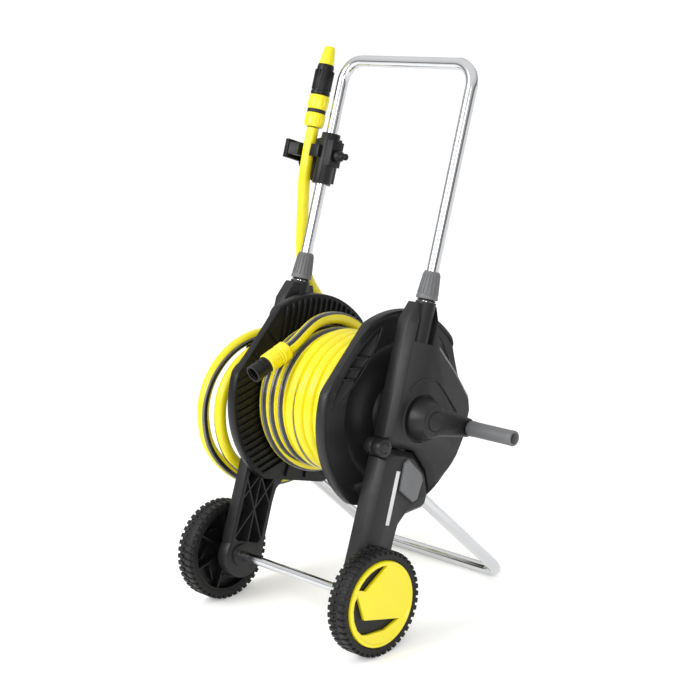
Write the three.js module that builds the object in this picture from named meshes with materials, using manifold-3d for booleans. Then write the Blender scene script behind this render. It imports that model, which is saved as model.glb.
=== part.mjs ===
import * as THREE from 'three';
import { mergeVertices } from 'three/addons/utils/BufferGeometryUtils.js';
import Module from 'manifold-3d';

// Garden hose reel cart. Millimetres, +Z up, X along the wheel axle, -Y the wheel side, +Y the stand side.
// Side frames, handle and drum are laid out in a leaning frame: u runs rearwards across the lean and
// w runs up along it, both from the wheel axle.

// overall sizes
const wheelRadius = 82;
const tyreWidth = 32;
const frameLean = THREE.MathUtils.degToRad(20.9);
const frameInnerX = 128;
const frameOuterX = 158;
const wheelOuterX = frameOuterX + 34;
const handleTopW = 830;
const footY = 335.5;
const gripLength = 90;

// tubes and hose
const tubeRadius = 9.5;
const tubeWall = 1.2;
const tubeBend = 36;
const hoseDiameter = 20;
const looseFit = 0.6;
const gap = 0.3;

// handle and collars
const handleX = (frameInnerX + frameOuterX) / 2 - 2;
const handleU = 15;
const handleLowerW = 432;
const handleTravel = 110;
const collarLowerW = 463;
const collarHeight = 43;
const collarLowerRadius = 17;
const collarUpperRadius = 13.5;
const coneWall = 1.6;

// drum
const drumU = 40;
const drumW = 283;
const flangeRadius = 162;
const flangeFlat = 147;
const flangeInnerX = 92;
const flangeRimX = 110;
const flangePlate = 5;
const flangeLip = 4;
const barrelRadius = 76;
const barrelWall = 3;
const windingRadius = 116;
const shaftRadius = 16;
const shaftBore = 10;
const bushWall = 4;
const crankReach = 81;
const crankHubRadius = 35;
const crankInnerX = frameOuterX + 4;
const crankArmX = crankInnerX + 12;
const crankOuterX = crankInnerX + 26;
const gripRadius = 12.5;
const crankPinRadius = 5;

// stand and legs
const kneeU = -27;
const kneeW = 229;
const kneeRadius = 14;
const kneePinRadius = 4;
const standPivotU = 47;
const standPivotW = 183;
const standX = frameInnerX + 14;
const standPinRadius = 4;
const standEnd = 9;
const standFold = THREE.MathUtils.degToRad(55);
const axleRadius = 5;
const axleTubeRadius = 7.5;
const legBossRadius = 19;
const legBossHeight = 4;
const buttonTravel = 4;
const buttonDepth = 7;
const buttonProud = 5;
const panelChamfer = 9;
const shellWall = 4;

// colours
const black = [0x222323, 0.55, 0];
const softBlack = [0x1c1c1d, 0.85, 0];
const grey = [0x77797b, 0.6, 0];
const yellow = [0xf2e10a, 0.4, 0];
const alloy = [0xd9dbdd, 0.25, 1];
const steel = [0x9a9c9e, 0.35, 1];

const wasm = await Module();
wasm.setup();

// solids and booleans
function toSolid(geometry) {
  const bare = geometry.clone();
  for (const name of Object.keys(bare.attributes)) {
    if (name !== 'position') bare.deleteAttribute(name);
  }
  const merged = mergeVertices(bare, 1e-4);
  return new wasm.Manifold(new wasm.Mesh({
    numProp: 3,
    vertProperties: new Float32Array(merged.attributes.position.array),
    triVerts: new Uint32Array(merged.index.array),
  }));
}

function toGeometry(solid) {
  const result = solid.getMesh();
  const geometry = new THREE.BufferGeometry();
  geometry.setAttribute('position', new THREE.BufferAttribute(result.vertProperties, 3));
  geometry.setIndex(new THREE.BufferAttribute(result.triVerts, 1));
  return geometry;
}

function join(...geometries) {
  return toGeometry(geometries.map(toSolid).reduce((sum, next) => sum.add(next)));
}

function cut(body, ...tools) {
  return toGeometry(tools.map(toSolid).reduce((left, tool) => left.subtract(tool), toSolid(body)));
}

function mirrored(geometry) {
  const copy = geometry.index ? geometry.clone() : mergeVertices(geometry.clone(), 1e-4);
  copy.scale(-1, 1, 1);
  const order = copy.index.array;
  for (let i = 0; i < order.length; i += 3) {
    [order[i + 1], order[i + 2]] = [order[i + 2], order[i + 1]];
  }
  return copy;
}

// basic shapes; a section is drawn in (u, w) and pulled along X
const sideways = new THREE.Matrix4().makeBasis(
  new THREE.Vector3(0, 1, 0), new THREE.Vector3(0, 0, 1), new THREE.Vector3(1, 0, 0));

function slab(section, fromX, toX, curveSegments = 8) {
  const geometry = new THREE.ExtrudeGeometry(section, { depth: toX - fromX, bevelEnabled: false, curveSegments });
  return geometry.applyMatrix4(sideways).translate(fromX, 0, 0);
}

// a slab whose outer edge carries one chamfer, on the side of larger X
function chamferedSlab(section, fromX, toX, chamfer, curveSegments = 8) {
  const geometry = new THREE.ExtrudeGeometry(section, {
    depth: toX - fromX - chamfer, bevelEnabled: true, bevelThickness: chamfer, bevelSize: chamfer,
    bevelOffset: -chamfer, bevelSegments: 1, curveSegments,
  });
  geometry.applyMatrix4(sideways).translate(fromX, 0, 0);
  return cut(geometry, block([fromX - chamfer - 5, -900, -900], [fromX, 900, 900]));
}

function block(low, high) {
  const geometry = new THREE.BoxGeometry(high[0] - low[0], high[1] - low[1], high[2] - low[2]);
  return geometry.translate((low[0] + high[0]) / 2, (low[1] + high[1]) / 2, (low[2] + high[2]) / 2);
}

// turned shape about the X axis from [radius, x] pairs; the profile closes on itself or ends on the axis
function turnedX(profile, segments = 32) {
  const geometry = new THREE.LatheGeometry(profile.map(([r, x]) => new THREE.Vector2(r, x)), segments);
  return geometry.rotateZ(-Math.PI / 2);
}

function turnedZ(profile, segments = 32) {
  const geometry = new THREE.LatheGeometry(profile.map(([r, z]) => new THREE.Vector2(r, z)), segments);
  return geometry.rotateX(Math.PI / 2);
}

function ring(innerRadius, outerRadius, fromX, toX, segments = 32) {
  return turnedX([[innerRadius, fromX], [outerRadius, fromX], [outerRadius, toX], [innerRadius, toX],
    [innerRadius, fromX]], segments);
}

function rod(radius, fromX, toX, segments = 20) {
  return turnedX([[0, fromX], [radius, fromX], [radius, toX], [0, toX]], segments);
}

function rodZ(radius, fromZ, toZ, segments = 20) {
  return turnedZ([[0, fromZ], [radius, fromZ], [radius, toZ], [0, toZ]], segments);
}

function circle(radius, u = 0, w = 0) {
  const shape = new THREE.Shape();
  shape.absarc(u, w, radius, 0, Math.PI * 2, false);
  return shape;
}

function outline(points) {
  return new THREE.Shape(points.map(([u, w]) => new THREE.Vector2(u, w)));
}

// a path through chosen stations, swept by one section at each of them
class StationPath extends THREE.Curve {
  constructor(stations, tangents = null) {
    super();
    this.stations = stations;
    this.tangents = tangents;
  }

  getPoint(t, target = new THREE.Vector3()) {
    const last = this.stations.length - 1;
    const place = Math.min(Math.max(t, 0), 1) * last;
    const index = Math.min(Math.floor(place), last - 1);
    return target.lerpVectors(this.stations[index], this.stations[index + 1], place - index);
  }

  getPointAt(t, target) {
    return this.getPoint(t, target);
  }

  getTangentAt(t, target = new THREE.Vector3()) {
    const last = this.stations.length - 1;
    const index = Math.round(t * last);
    if (this.tangents) return target.copy(this.tangents[index]);
    const before = this.stations[Math.max(index - 1, 0)];
    const after = this.stations[Math.min(index + 1, last)];
    return target.subVectors(after, before).normalize();
  }
}

function swept(stations, radius, wall, sides) {
  const section = circle(radius);
  if (wall) {
    const bore = new THREE.Path();
    bore.absarc(0, 0, radius - wall, 0, Math.PI * 2, true);
    section.holes.push(bore);
  }
  return new THREE.ExtrudeGeometry(section, {
    steps: stations.length - 1, curveSegments: sides, extrudePath: new StationPath(stations),
  });
}

// a stretch of hose between two shares of a curve's length
function hoseAlong(curve, from, to, steps) {
  const stations = [];
  const tangents = [];
  for (let i = 0; i <= steps; i += 1) {
    const along = from + ((to - from) * i) / steps;
    stations.push(curve.getPointAt(along));
    tangents.push(curve.getTangentAt(along));
  }
  return new THREE.ExtrudeGeometry(circle(hoseDiameter / 2), {
    steps, curveSegments: 4, extrudePath: new StationPath(stations, tangents),
  });
}

// stations of a flat U: up one side, round two corners and down the other, in the plane of x and v
function uStations(halfWidth, lowV, highV, bend, steps) {
  const stations = [[-halfWidth, lowV], [-halfWidth, highV - bend - 2]];
  for (const side of [-1, 1]) {
    for (let i = 0; i <= steps; i += 1) {
      const turn = (Math.PI / 2) * (side < 0 ? i / steps : 1 - i / steps);
      const reach = halfWidth - bend + bend * Math.cos(turn);
      stations.push([side * reach, highV - bend + bend * Math.sin(turn)]);
    }
  }
  stations.push([halfWidth, highV - bend - 2], [halfWidth, lowV]);
  return stations;
}

// group tree
const cart = new THREE.Group();
const lean = new THREE.Group();
lean.position.z = wheelRadius;
lean.rotation.x = -frameLean;
cart.add(lean);
const drumAxis = new THREE.Group();
drumAxis.position.set(0, drumU, drumW);
lean.add(drumAxis);

function place(name, geometry, [color, roughness, metalness], parent = lean, position = [0, 0, 0]) {
  geometry.computeVertexNormals();
  const material = new THREE.MeshStandardMaterial({ color, roughness, metalness });
  const mesh = new THREE.Mesh(geometry, material);
  mesh.name = name;
  mesh.position.set(...position);
  parent.add(mesh);
  return mesh;
}

function placePair(name, geometry, finish, parent = lean, position = [0, 0, 0]) {
  place(`${name}_right`, geometry, finish, parent, position);
  place(`${name}_left`, mirrored(geometry), finish, parent, [-position[0], position[1], position[2]]);
}

// ---- side panels: the upper half of each side frame ----
const panelTopW = 455;
const legRearU = 44;
const seam = 2;

function panelOutline() {
  return outline([
    [-24, kneeW + 15], [-24, panelTopW - 30], [-10, panelTopW], [32, panelTopW], [41, panelTopW - 18],
    [57, 398], [108, 364], [148, 332], [157, 312], [156, 262], [148, 232], [132, 206], [102, 176],
    [84, 203 + seam], [47, 230 + seam], [16, 232], [-8, kneeW + 3],
  ]);
}

function sidePanel() {
  const socketRadius = tubeRadius + 6.5;
  const plain = chamferedSlab(panelOutline(), frameInnerX, frameOuterX, panelChamfer);
  const recess = block([handleX + 7, handleU - 26, 396], [frameOuterX + 5, handleU + 17, panelTopW + 5]);
  const socket = rodZ(socketRadius, 385, panelTopW + 4, 24).translate(handleX, handleU, 0);
  const knee = rod(kneeRadius, (frameInnerX + frameOuterX) / 2 + seam / 2, frameOuterX + 1, 24)
    .translate(0, kneeU, kneeW);
  const bearing = ring(shaftRadius + bushWall + gap, 30, frameOuterX - 2, frameOuterX + 2, 40)
    .translate(0, drumU, drumW);
  const pocketSection = outline([
    [34, 394], [52, 372], [104, 340], [134, 318], [147, 300], [145, 262], [124, 216], [102, 190],
    [92, 207], [52, 240], [20, 242], [-8, kneeW + 22], [-16, kneeW + 30], [-16, 400], [-3, 422], [-3, 394],
  ]);
  const pocket = slab(pocketSection, frameInnerX - 1, frameOuterX - shellWall);
  const keptCore = join(
    slab(circle(shaftRadius + bushWall + 7, drumU, drumW), frameInnerX - 2, frameOuterX, 10),
    slab(outline([[-4, 300], [34, 300], [34, 440], [-4, 440]]), frameInnerX - 2, frameOuterX),
    ...[[300, 3], [350, 3]].map(([w, half]) => block(
      [frameInnerX - 2, -30, w - half / 2], [frameOuterX, 160, w + half / 2])),
    block([frameInnerX - 2, 88, 150], [frameOuterX, 91, 420]),
  );
  const tubeRun = rodZ(tubeRadius + looseFit, handleLowerW - handleTravel - 8, panelTopW + 10, 24)
    .translate(handleX, handleU, 0);
  const kneeClear = rod(kneeRadius + 1, frameInnerX - 1, (frameInnerX + frameOuterX) / 2 + seam / 2, 24)
    .translate(0, kneeU, kneeW);
  const kneeHole = rod(kneePinRadius + gap, frameInnerX - 1, frameOuterX - 2, 16).translate(0, kneeU, kneeW);
  const shaftHole = rod(shaftRadius + bushWall + gap, frameInnerX - 5, frameOuterX + 5, 32)
    .translate(0, drumU, drumW);
  const shell = join(cut(plain, recess), socket, bearing);
  return cut(join(cut(shell, cut(pocket, keptCore)), knee), tubeRun, kneeClear, kneeHole, shaftHole);
}

placePair('side_panel', sidePanel(), black);

const coneInner = tubeRadius + gap;
placePair('grip_cone', turnedZ([
  [coneInner, panelTopW + 5], [collarLowerRadius - 2.6, panelTopW + 5], [collarLowerRadius - 2.6, collarLowerW - 1.2],
  [coneInner + coneWall, collarLowerW - 0.4], [coneInner + coneWall - 0.6, collarLowerW + collarHeight - 6],
  [coneInner, collarLowerW + collarHeight - 6], [coneInner, panelTopW + 5],
], 24), softBlack, lean, [handleX, handleU, 0]);

placePair('twist_collar', turnedZ([
  [coneInner + coneWall + gap, collarLowerW], [collarLowerRadius, collarLowerW],
  [collarLowerRadius, collarLowerW + 6], [collarUpperRadius, collarLowerW + collarHeight],
  [coneInner, collarLowerW + collarHeight], [coneInner, collarLowerW + collarHeight - 5],
  [coneInner + coneWall + gap, collarLowerW + collarHeight - 5.5], [coneInner + coneWall + gap, collarLowerW],
], 24), grey, lean, [handleX, handleU, 0]);

// ---- lower legs: hinged to the panels at the knee, carrying the wheels and the stand ----
const slotHalf = tubeRadius + 1;
const standRise = footPoint()[1] - standPivotW;
const standRun = footPoint()[0] - standPivotU;
const standAngle = Math.atan2(standRise, standRun);

function footPoint() {
  const rise = tubeRadius - wheelRadius;
  return [
    footY * Math.cos(frameLean) - rise * Math.sin(frameLean),
    footY * Math.sin(frameLean) + rise * Math.cos(frameLean),
  ];
}

function legOutline() {
  const shape = new THREE.Shape();
  shape.moveTo(-26, kneeW - 16);
  shape.lineTo(-30, 20);
  shape.absarc(6, 0, 38, Math.PI * 0.86, Math.PI * 2.02, false);
  shape.lineTo(legRearU, 92);
  for (const [u, w] of [[46, 114], [57, 131], [90, 144], [97, 152], [98, 170], [82, 202], [46, 228], [16, 230],
    [-8, kneeW]]) {
    shape.lineTo(u, w);
  }
  return shape;
}

// the sector that the stand tube sweeps between its two limits
function standSweep(half, reach) {
  const points = [];
  const folded = standAngle - standFold;
  const along = (angle, distance, side) => [
    standPivotU + Math.cos(angle) * distance - Math.sin(angle) * side,
    standPivotW + Math.sin(angle) * distance + Math.cos(angle) * side,
  ];
  points.push(along(standAngle, reach, half), along(standAngle, 0, half));
  for (let i = 1; i < 6; i += 1) {
    const turn = standAngle + Math.PI / 2 + ((Math.PI * 2 - standFold) - Math.PI) * (i / 6);
    points.push([standPivotU + Math.cos(turn) * half, standPivotW + Math.sin(turn) * half]);
  }
  points.push(along(folded, 0, -half), along(folded, reach, -half));
  return outline(points.reverse());
}

function lowerLeg() {
  const plain = chamferedSlab(legOutline(), frameInnerX, frameOuterX, panelChamfer, 10);
  const boss = rod(legBossRadius, frameInnerX - legBossHeight, frameInnerX + 2, 28);
  const knee = rod(kneeRadius, frameInnerX, (frameInnerX + frameOuterX) / 2 - seam / 2, 24)
    .translate(0, kneeU, kneeW);
  const slot = join(slab(standSweep(slotHalf, 150), standX - slotHalf, standX + slotHalf),
    rod(Math.hypot(standEnd, tubeRadius) + 1.1, standX - slotHalf, standX + slotHalf, 24).translate(0, standPivotU, standPivotW));
  const pocketSection = outline([[-18, kneeW - 26], [-22, 26], [-12, 22], [30, 22], [36, 30], [38, 118], [30, 150],
    [10, 190], [4, kneeW - 22]]);
  const pocket = slab(pocketSection, frameInnerX - 1, frameInnerX + 20);
  const ribs = [];
  for (const [fromU, fromW, toU, toW] of [[-24, 24, 38, 130], [38, 24, -24, 130], [-24, 88, 34, 180],
    [38, 88, -26, 180], [8, 20, 8, 210]]) {
    const run = Math.hypot(toU - fromU, toW - fromW);
    const rib = new THREE.BoxGeometry(21, 2.6, run).translate(frameInnerX + 10.5, 0, 0);
    rib.rotateX(-Math.atan2(toU - fromU, toW - fromW));
    ribs.push(rib.translate(0, (fromU + toU) / 2, (fromW + toW) / 2));
  }
  const kneeClear = rod(kneeRadius + 1, (frameInnerX + frameOuterX) / 2 - seam / 2, frameOuterX + 2, 24)
    .translate(0, kneeU, kneeW);
  const kneeHole = rod(kneePinRadius + gap, frameInnerX - 1, frameOuterX, 16).translate(0, kneeU, kneeW);
  const axleHole = rod(axleRadius + gap, frameInnerX - 10, frameOuterX + 10, 20);
  const pinHole = rod(standPinRadius + gap, frameInnerX - 1, standX + slotHalf + 0.5, 16)
    .translate(0, standPivotU, standPivotW);
  const window = slab(buttonOutline(0.8), standX + slotHalf - 1, frameOuterX + 5);
  const shell = cut(join(plain, boss), cut(pocket, ...ribs), slot, kneeClear);
  return cut(join(shell, knee), kneeHole, axleHole, pinHole, window);
}

function buttonOutline(grow = 0) {
  const corners = [[29, 219], [64, 200], [70, 190], [66, 160], [58, 154], [24, 169], [22, 212]];
  const centre = [47, 187];
  return outline(corners.map(([u, w]) => {
    const reach = Math.hypot(u - centre[0], w - centre[1]);
    return [u + ((u - centre[0]) / reach) * grow, w + ((w - centre[1]) / reach) * grow];
  }).reverse());
}

placePair('lower_leg', lowerLeg(), black);
placePair('knee_pin', rod(kneePinRadius, frameInnerX + 0.5, frameOuterX - 2.4, 16), steel, lean, [0, kneeU, kneeW]);
placePair('stand_pin', rod(standPinRadius, frameInnerX + 0.5, standX + slotHalf - 0.8, 16), steel, lean,
  [0, standPivotU, standPivotW]);
const buttonBack = frameOuterX + buttonProud - buttonDepth;
placePair('release_button', chamferedSlab(buttonOutline(), buttonBack, frameOuterX + buttonProud, 2), grey);

// ---- axle and wheels ----
const rodEnd = wheelOuterX - 8;
place('axle_rod', rod(axleRadius, -rodEnd, rodEnd, 20), steel);
const sleeveEnd = frameInnerX - legBossHeight - gap;
place('axle_sleeve', ring(axleRadius + gap, axleTubeRadius, -sleeveEnd, sleeveEnd, 24), alloy);

const treadFlats = 48;
const treadRadius = wheelRadius / Math.cos(Math.PI / treadFlats);
const wheelInnerX = wheelOuterX - tyreWidth;
const rimRadius = wheelRadius - 14;

function tyre() {
  const shoulder = 4;
  const profile = [[rimRadius, wheelInnerX], [treadRadius - shoulder, wheelInnerX],
    [treadRadius, wheelInnerX + shoulder], [treadRadius, wheelOuterX - shoulder],
    [treadRadius - shoulder, wheelOuterX], [rimRadius, wheelOuterX], [rimRadius, wheelInnerX]];
  return turnedX(profile, treadFlats).rotateX(frameLean + Math.PI / treadFlats);
}

function wheelRim() {
  const rimWall = 3;
  const body = turnedX([
    [axleRadius + looseFit, wheelInnerX + 0.6], [14, wheelInnerX + 0.6], [14, wheelOuterX - 17],
    [rimRadius - rimWall, wheelOuterX - 17], [rimRadius - rimWall, wheelInnerX + 1],
    [rimRadius - gap, wheelInnerX + 1], [rimRadius - gap, wheelOuterX - 5],
    [rimRadius - rimWall - 2, wheelOuterX - 5], [rimRadius - rimWall - 2, wheelOuterX - 14],
    [axleRadius + looseFit, wheelOuterX - 14], [axleRadius + looseFit, wheelInnerX + 0.6],
  ], 40);
  const ribs = [];
  for (let i = 0; i < 6; i += 1) {
    ribs.push(new THREE.BoxGeometry(14, 3, rimRadius - rimWall - 12)
      .translate(wheelInnerX + 8, 0, (rimRadius - rimWall + 12) / 2).rotateX((i * Math.PI) / 3));
  }
  return join(body, ...ribs);
}

function wheelCap() {
  const capRadius = rimRadius - 1.5;
  return turnedX([
    [0, wheelOuterX - 3], [capRadius - 5, wheelOuterX - 3], [capRadius - 5, wheelOuterX - 4.6],
    [capRadius, wheelOuterX - 4.6], [capRadius, wheelOuterX - 1], [capRadius - 4, wheelOuterX + 1.6],
    [0, wheelOuterX + 3],
  ], 40);
}

placePair('tyre', tyre(), softBlack);
placePair('wheel_rim', wheelRim(), black);
placePair('wheel_cap', wheelCap(), yellow);
placePair('axle_clip', ring(axleRadius + 0.05, 9, wheelOuterX - 13.6, wheelOuterX - 10.5, 20), steel);

// ---- stand: one bent tube with a foot bar ----
function standTube() {
  const reach = Math.hypot(standRun, standRise);
  const toPlace = ([x, v]) => new THREE.Vector3(
    x, standPivotU + Math.cos(standAngle) * v, standPivotW + Math.sin(standAngle) * v);
  const stations = uStations(standX, -standEnd, reach, tubeBend, 6).map(toPlace);
  const tube = swept(stations, tubeRadius, tubeWall, 8);
  const hole = rod(standPinRadius + gap, -standX - 15, standX + 15, 16).translate(0, standPivotU, standPivotW);
  return cut(tube, hole);
}

place('stand_tube', standTube(), alloy);

// ---- drum: shaft, barrel, two flanges, the wound hose and the crank ----
function flangeOutline(inset = 0) {
  const shape = new THREE.Shape();
  const radius = flangeRadius - inset;
  const half = Math.acos(flangeFlat / flangeRadius);
  for (let i = 0; i < 3; i += 1) {
    const flat = THREE.MathUtils.degToRad(33) + (i * Math.PI * 2) / 3;
    const nextFlat = flat + (Math.PI * 2) / 3;
    if (i === 0) shape.moveTo(Math.cos(flat + half) * radius, Math.sin(flat + half) * radius);
    shape.absarc(0, 0, radius, flat + half, nextFlat - half, false);
  }
  shape.closePath();
  return shape;
}

function drumFlange() {
  const rim = slab(flangeOutline(), flangeInnerX, flangeRimX, 10);
  const dish = slab(flangeOutline(flangeLip), flangeInnerX + flangePlate, flangeRimX + 1, 10);
  const hub = rod(30, flangeInnerX, flangeRimX - 2, 32);
  const bore = rod(shaftRadius + gap, flangeInnerX - 1, flangeRimX + 1, 32);
  return cut(join(cut(rim, dish), hub), bore);
}

placePair('drum_flange', drumFlange(), black, drumAxis);
place('drum_barrel', ring(barrelRadius - barrelWall, barrelRadius, gap - flangeInnerX, flangeInnerX - gap, 40),
  black, drumAxis);
const shaftLeftX = -frameOuterX + 2;
const shaftRightX = crankInnerX + 8;
place('drum_shaft', turnedX([
  [shaftBore, shaftLeftX], [shaftRadius, shaftLeftX], [shaftRadius, shaftRightX], [0, shaftRightX],
  [0, shaftRightX - 12], [shaftBore, shaftRightX - 12], [shaftBore, shaftLeftX],
], 32), black, drumAxis);
placePair('shaft_bush', ring(shaftRadius + gap, shaftRadius + bushWall, frameInnerX, frameOuterX + 1.5, 32), grey,
  drumAxis);
place('hose_winding', ring(barrelRadius + gap, windingRadius, gap - flangeInnerX, flangeInnerX - gap, 40), yellow,
  drumAxis);

// the loose end of the wound hose: over the top of the winding to its coupling
const couplingRadius = 16;
const couplingStart = new THREE.Vector3(-41, -89.4, 98.6);
const couplingAim = new THREE.Vector3(-2.5, -70.6, -24.9).normalize();
const tailRadius = windingRadius + hoseDiameter / 2 + gap;
const tailTurns = [[20, -58, 2], [44, -58, 2], [66, -56, 2], [86, -50.5, 2], [102, -45, 2.2]];
const tailPoints = tailTurns.map(([turn, x, lift]) => {
  const angle = THREE.MathUtils.degToRad(turn);
  return new THREE.Vector3(x, (tailRadius + lift) * Math.cos(angle), (tailRadius + lift) * Math.sin(angle));
});
tailPoints.push(couplingStart.clone().addScaledVector(couplingAim, -14),
  couplingStart.clone().addScaledVector(couplingAim, -gap));
const tailCurve = new THREE.CatmullRomCurve3(tailPoints, false, 'centripetal');
const wound = new THREE.Group();
wound.rotation.x = frameLean;
drumAxis.add(wound);
place('hose_tail', hoseAlong(tailCurve, 0, 1, 7), yellow, wound);

function towardsMouth(geometry) {
  const turn = new THREE.Quaternion().setFromUnitVectors(new THREE.Vector3(0, 0, 1), couplingAim);
  return geometry.applyQuaternion(turn).translate(...couplingStart);
}

place('coupling_nut', towardsMouth(turnedZ([[0, 0], [couplingRadius - 1.5, 0], [couplingRadius, 3],
  [couplingRadius, 44], [0, 44]], 20)), yellow, wound);
place('coupling_mouth', towardsMouth(turnedZ([[0, 44 + gap], [couplingRadius - 2, 44 + gap], [couplingRadius - 2, 74],
  [couplingRadius - 5, 74], [couplingRadius - 5, 58], [0, 58]], 20)), black, wound);

function crankArm() {
  const hub = turnedX([
    [0, crankInnerX], [crankHubRadius, crankInnerX], [crankHubRadius, crankInnerX + 4],
    [crankHubRadius - 9, crankOuterX - 2], [crankHubRadius - 12, crankOuterX], [0, crankOuterX],
  ], 32);
  const armSection = new THREE.Shape();
  armSection.moveTo(0, 23);
  armSection.lineTo(crankReach, 15);
  armSection.absarc(crankReach, 0, 15, Math.PI / 2, -Math.PI / 2, true);
  armSection.lineTo(0, -23);
  const arm = chamferedSlab(armSection, crankArmX, crankOuterX, 3, 8);
  const socket = rod(shaftRadius + gap, crankInnerX - 1, shaftRightX + gap, 32);
  const screwHole = rod(4.5, crankInnerX, crankOuterX + 1, 16);
  const capSeat = rod(15, crankOuterX - 4, crankOuterX + 1, 24);
  const pinHole = rod(crankPinRadius + gap, crankArmX - 1, crankOuterX + 1, 16).translate(0, crankReach, 0);
  return cut(join(hub, arm), socket, screwHole, capSeat, pinHole);
}

place('crank_arm', crankArm(), black, drumAxis);
place('crank_screw', rod(4, shaftRightX + gap, crankOuterX - 4.4, 16), steel, drumAxis);
place('crank_cap', turnedX([[0, crankOuterX - 3.9], [14.6, crankOuterX - 3.9], [14.6, crankOuterX + 0.6],
  [13.4, crankOuterX + 1.6], [0, crankOuterX + 1.8]], 24), black, drumAxis);
const gripStartX = crankOuterX + 1;
const pinEndX = gripStartX + gripLength * 0.7;
place('crank_pin', turnedX([[0, crankArmX + 1], [crankPinRadius, crankArmX + 1], [crankPinRadius, pinEndX],
  [crankPinRadius + 2.5, pinEndX], [crankPinRadius + 2.5, pinEndX + 3], [0, pinEndX + 3]], 20), steel, drumAxis,
[0, crankReach, 0]);
place('crank_grip', turnedX([
  [crankPinRadius + gap, gripStartX], [gripRadius - 1.5, gripStartX], [gripRadius, gripStartX + 2],
  [gripRadius - 0.6, gripStartX + gripLength - 1], [gripRadius - 1.6, gripStartX + gripLength],
  [gripRadius - 3.4, gripStartX + gripLength], [gripRadius - 3.4, pinEndX - 1.2],
  [crankPinRadius + gap, pinEndX - 1.2], [crankPinRadius + gap, gripStartX],
], 24), grey, drumAxis, [0, crankReach, 0]);

// ---- water inlet on the left: a spigot in the shaft bore and an elbow for the supply hose ----
const elbowX = -frameOuterX - 20;
const elbowRadius = 12;
const elbowDrop = 30;

function inletElbow() {
  const spigot = rod(shaftBore - 2.5, -frameOuterX - 4, shaftLeftX + 22, 20);
  const barrel = rod(elbowRadius, elbowX - elbowRadius, -frameOuterX - 2.4, 24);
  const branch = rodZ(elbowRadius - 0.5, -elbowDrop, 0, 24).rotateX(frameLean).translate(elbowX, 0, 0);
  return join(spigot, barrel, branch);
}

place('inlet_elbow', inletElbow(), black, drumAxis);
place('inlet_collar', ring(elbowRadius + gap, 21, -frameOuterX - 8, -frameOuterX - 2.4, 24), grey, drumAxis);
place('shaft_seal', ring(shaftBore - 2.4, shaftBore - 0.1, shaftLeftX + 8, shaftLeftX + 12, 24), softBlack, drumAxis);

// ---- handle: one bent tube that slides in the panels ----
place('handle_tube', swept(uStations(handleX, handleLowerW, handleTopW, tubeBend, 6)
  .map(([x, w]) => new THREE.Vector3(x, handleU, w)), tubeRadius, tubeWall, 8), alloy);

// ---- hose holder on the left handle tube, and the nozzle it carries ----
const nozzleX = -handleX - 34;
const nozzleU = 3;
const jawRadius = 14.5;
const knobW = handleTopW - 160;
const holderLowW = handleTopW - 208;
const holderHighW = handleTopW - 124;
const padLowW = handleTopW - 166;
const padHighW = handleTopW - 146;

function holderClip() {
  const sleeve = rodZ(tubeRadius + 6, holderLowW, holderHighW, 24).translate(-handleX, handleU, 0);
  const lug = block([-handleX, handleU - 13, padLowW - 12], [-handleX + 22, handleU + 12, padHighW + 10]);
  const claw = new THREE.Shape();
  claw.moveTo(-handleX, holderLowW);
  claw.lineTo(nozzleX + 14, holderLowW + 2);
  claw.quadraticCurveTo(nozzleX - 28, holderLowW + 8, nozzleX - 46, padLowW - 8);
  claw.lineTo(nozzleX - 44, padHighW + 6);
  claw.quadraticCurveTo(nozzleX - 20, padHighW + 16, nozzleX + 10, holderHighW - 2);
  claw.lineTo(-handleX, holderHighW - 2);
  const back = new THREE.ExtrudeGeometry(claw, { depth: 7, bevelEnabled: false, curveSegments: 8 })
    .rotateX(Math.PI / 2).translate(0, handleU + 21, 0);
  const web = block([-handleX - 16, handleU, holderLowW + 4], [-handleX + 8, handleU + 20, holderHighW - 6]);
  const leftArm = block([nozzleX - 46, nozzleU - 12, padLowW - 6], [nozzleX - 38, handleU + 20, padHighW + 5]);
  const leftPad = block([nozzleX - 40, nozzleU - 10, padLowW], [nozzleX - jawRadius, nozzleU + 6, padHighW]);
  const rightPad = block([nozzleX + jawRadius, nozzleU - 10, padLowW], [-handleX, handleU + 16, padHighW]);
  const solid = join(sleeve, lug, back, web, leftArm, leftPad, rightPad);
  const tubeHole = rodZ(tubeRadius + gap, holderLowW - 2, holderHighW + 2, 24).translate(-handleX, handleU, 0);
  const screwHole = rod(3.4, -handleX + tubeRadius + 2, -handleX + 23, 16).translate(0, handleU, knobW);
  return cut(solid, tubeHole, screwHole);
}

place('hose_holder', holderClip(), black);
place('holder_knob', turnedX([
  [0, 11.8], [3, 11.8], [3, 22.4], [10, 22.4], [11, 26], [9, 34], [5, 38], [6, 41], [5.5, 45], [0, 47],
], 16), black, lean, [-handleX, handleU, knobW]);

const nozzleParts = [
  ['nozzle_nut', yellow, [[10.4, 0], [15.5, 0], [17, 5], [17, 23], [10.4, 23], [10.4, 0]]],
  ['nozzle_seal', softBlack, [[0, 23.3], [15.5, 23.3], [15.5, 29], [0, 29]]],
  ['nozzle_collar', yellow, [[0, 29.3], [15.5, 29.3], [17.2, 34], [17, 53], [0, 53]]],
  ['nozzle_body', black, [[0, 53.3], [17, 53.3], [16.5, 67], [14.5, 99], [13.5, 105], [0, 105]]],
  ['nozzle_tip', yellow, [[0, 105.3], [12.5, 105.3], [12, 113], [9, 132], [7.5, 136], [3, 136], [3, 124],
    [0, 124]]],
];
for (const [name, finish, profile] of nozzleParts) {
  place(name, turnedZ(profile, 24), finish, lean, [nozzleX, nozzleU, handleTopW - 117]);
}

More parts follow.
